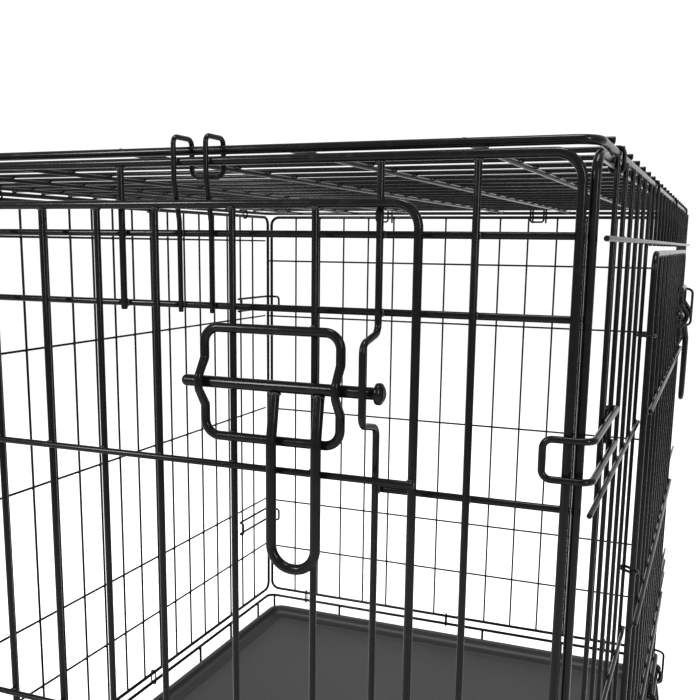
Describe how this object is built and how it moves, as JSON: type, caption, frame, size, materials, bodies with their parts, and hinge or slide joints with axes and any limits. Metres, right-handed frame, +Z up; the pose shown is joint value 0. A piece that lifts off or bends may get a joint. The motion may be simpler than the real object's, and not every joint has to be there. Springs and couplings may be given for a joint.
{
  "type": "folding wire dog crate",
  "caption": "Folding wire crate for a dog: mesh panels, a roof, hinged front and side doors with slide-bolt latches, corner hooks and a slide-out floor tray.",
  "frame": {"origin": "on the ground below the middle of the crate", "axes": "+Z up, -Y out through the front door, +X out through the side door"},
  "size_m": [0.7429, 1.0921, 0.7671],
  "materials": {
    "black_wire": "glossy black e-coat on steel wire",
    "tray_plastic": "satin moulded plastic"
  },
  "bodies": {
    "crate": {"floor_rim": "black_wire", "floor_cross_wires": "black_wire", "floor_long_wires": "black_wire", "left_side_frame": "black_wire", "left_side_uprights": "black_wire", "left_side_rails": "black_wire", "right_side_frame": "black_wire", "right_side_uprights": "black_wire", "right_side_rails": "black_wire", "side_hinge_post": "black_wire", "side_latch_post": "black_wire", "side_hinge_loops": "black_wire", "roof_frame": "black_wire", "roof_long_wires": "black_wire", "roof_cross_wires": "black_wire", "left_roof_clips": "black_wire", "right_roof_clips": "black_wire", "left_floor_clips": "black_wire", "right_floor_clips": "black_wire", "front_floor_clips": "black_wire", "rear_floor_clips": "black_wire"},
    "front_panel": {"front_frame": "black_wire", "front_uprights": "black_wire", "front_rails": "black_wire", "front_hinge_post": "black_wire", "front_latch_post": "black_wire", "front_top_hooks": "black_wire", "front_hinge_loops": "black_wire"},
    "rear_panel": {"rear_frame": "black_wire", "rear_uprights": "black_wire", "rear_rails": "black_wire", "rear_top_hooks": "black_wire"},
    "tray": {"tray": "tray_plastic"},
    "front_door": {"front_door_frame": "black_wire", "front_door_uprights": "black_wire", "front_door_rails": "black_wire", "front_upper_latch_guide": "black_wire", "front_lower_latch_guide": "black_wire"},
    "side_door": {"side_door_frame": "black_wire", "side_door_uprights": "black_wire", "side_door_rails": "black_wire", "side_upper_latch_guide": "black_wire", "side_lower_latch_guide": "black_wire"},
    "front_upper_bolt": {"front_upper_bolt": "black_wire"},
    "front_upper_handle": {"front_upper_latch_handle": "black_wire"},
    "front_lower_bolt": {"front_lower_bolt": "black_wire"},
    "front_lower_handle": {"front_lower_latch_handle": "black_wire"},
    "side_upper_bolt": {"side_upper_bolt": "black_wire"},
    "side_upper_handle": {"side_upper_latch_handle": "black_wire"},
    "side_lower_bolt": {"side_lower_bolt": "black_wire"},
    "side_lower_handle": {"side_lower_latch_handle": "black_wire"},
    "front_left_upper_hook": {"front_left_upper_hook": "black_wire"},
    "front_left_lower_hook": {"front_left_lower_hook": "black_wire"},
    "front_right_upper_hook": {"front_right_upper_hook": "black_wire"},
    "front_right_lower_hook": {"front_right_lower_hook": "black_wire"},
    "rear_left_upper_hook": {"rear_left_upper_hook": "black_wire"},
    "rear_left_lower_hook": {"rear_left_lower_hook": "black_wire"},
    "rear_right_upper_hook": {"rear_right_upper_hook": "black_wire"},
    "rear_right_lower_hook": {"rear_right_lower_hook": "black_wire"}
  },
  "joints": [
    {"name": "front_panel_fold", "type": "hinge", "parent": "crate", "child": "front_panel", "pos_m": [0, -0.5305, 0.0526], "axis": [1, 0, 0], "range_deg": [-86, 0]},
    {"name": "rear_panel_fold", "type": "hinge", "parent": "crate", "child": "rear_panel", "pos_m": [0, 0.5305, 0.0526], "axis": [-1, 0, 0], "range_deg": [-79, 0]},
    {"name": "front_door_swing", "type": "hinge", "parent": "front_panel", "child": "front_door", "pos_m": [-0.2498, -0.5385, 0.4], "axis": [0, 0, -1], "range_deg": [0, 160]},
    {"name": "side_door_swing", "type": "hinge", "parent": "crate", "child": "side_door", "pos_m": [0.3644, -0.2498, 0.4], "axis": [0, 0, -1], "range_deg": [0, 120]},
    {"name": "tray_slide", "type": "slide", "parent": "crate", "child": "tray", "axis": [0, -1, 0], "range_m": [0, 0.9]},
    {"name": "front_upper_bolt_slide", "type": "slide", "parent": "front_door", "child": "front_upper_bolt", "axis": [-1, 0, 0], "range_m": [0, 0.016]},
    {"name": "front_upper_handle_lift", "type": "hinge", "parent": "front_upper_bolt", "child": "front_upper_handle", "pos_m": [0.2, -0.5447, 0.629], "axis": [-1, 0, 0], "range_deg": [0, 100]},
    {"name": "front_lower_bolt_slide", "type": "slide", "parent": "front_door", "child": "front_lower_bolt", "axis": [-1, 0, 0], "range_m": [0, 0.016]},
    {"name": "front_lower_handle_lift", "type": "hinge", "parent": "front_lower_bolt", "child": "front_lower_handle", "pos_m": [0.2, -0.5447, 0.147], "axis": [-1, 0, 0], "range_deg": [0, 100]},
    {"name": "side_upper_bolt_slide", "type": "slide", "parent": "side_door", "child": "side_upper_bolt", "axis": [0, -1, 0], "range_m": [0, 0.016]},
    {"name": "side_upper_handle_lift", "type": "hinge", "parent": "side_upper_bolt", "child": "side_upper_handle", "pos_m": [0.3706, 0.2, 0.629], "axis": [0, -1, 0], "range_deg": [0, 100]},
    {"name": "side_lower_bolt_slide", "type": "slide", "parent": "side_door", "child": "side_lower_bolt", "axis": [0, -1, 0], "range_m": [0, 0.016]},
    {"name": "side_lower_handle_lift", "type": "hinge", "parent": "side_lower_bolt", "child": "side_lower_handle", "pos_m": [0.3706, 0.2, 0.147], "axis": [0, -1, 0], "range_deg": [0, 100]},
    {"name": "front_left_upper_hook_swing", "type": "hinge", "parent": "crate", "child": "front_left_upper_hook", "pos_m": [-0.35692, -0.42886, 0.6005], "axis": [0, 0, -1], "range_deg": [0, 90]},
    {"name": "front_left_lower_hook_swing", "type": "hinge", "parent": "crate", "child": "front_left_lower_hook", "pos_m": [-0.35692, -0.42886, 0.1985], "axis": [0, 0, -1], "range_deg": [0, 90]},
    {"name": "front_right_upper_hook_swing", "type": "hinge", "parent": "crate", "child": "front_right_upper_hook", "pos_m": [0.35692, -0.42886, 0.6005], "axis": [0, 0, 1], "range_deg": [0, 90]},
    {"name": "front_right_lower_hook_swing", "type": "hinge", "parent": "crate", "child": "front_right_lower_hook", "pos_m": [0.35692, -0.42886, 0.1985], "axis": [0, 0, 1], "range_deg": [0, 90]},
    {"name": "rear_left_upper_hook_swing", "type": "hinge", "parent": "crate", "child": "rear_left_upper_hook", "pos_m": [-0.35692, 0.42886, 0.6005], "axis": [0, 0, 1], "range_deg": [0, 90]},
    {"name": "rear_left_lower_hook_swing", "type": "hinge", "parent": "crate", "child": "rear_left_lower_hook", "pos_m": [-0.35692, 0.42886, 0.1985], "axis": [0, 0, 1], "range_deg": [0, 90]},
    {"name": "rear_right_upper_hook_swing", "type": "hinge", "parent": "crate", "child": "rear_right_upper_hook", "pos_m": [0.35692, 0.42886, 0.6005], "axis": [0, 0, -1], "range_deg": [0, 90]},
    {"name": "rear_right_lower_hook_swing", "type": "hinge", "parent": "crate", "child": "rear_right_lower_hook", "pos_m": [0.35692, 0.42886, 0.1985], "axis": [0, 0, -1], "range_deg": [0, 90]}
  ]
}
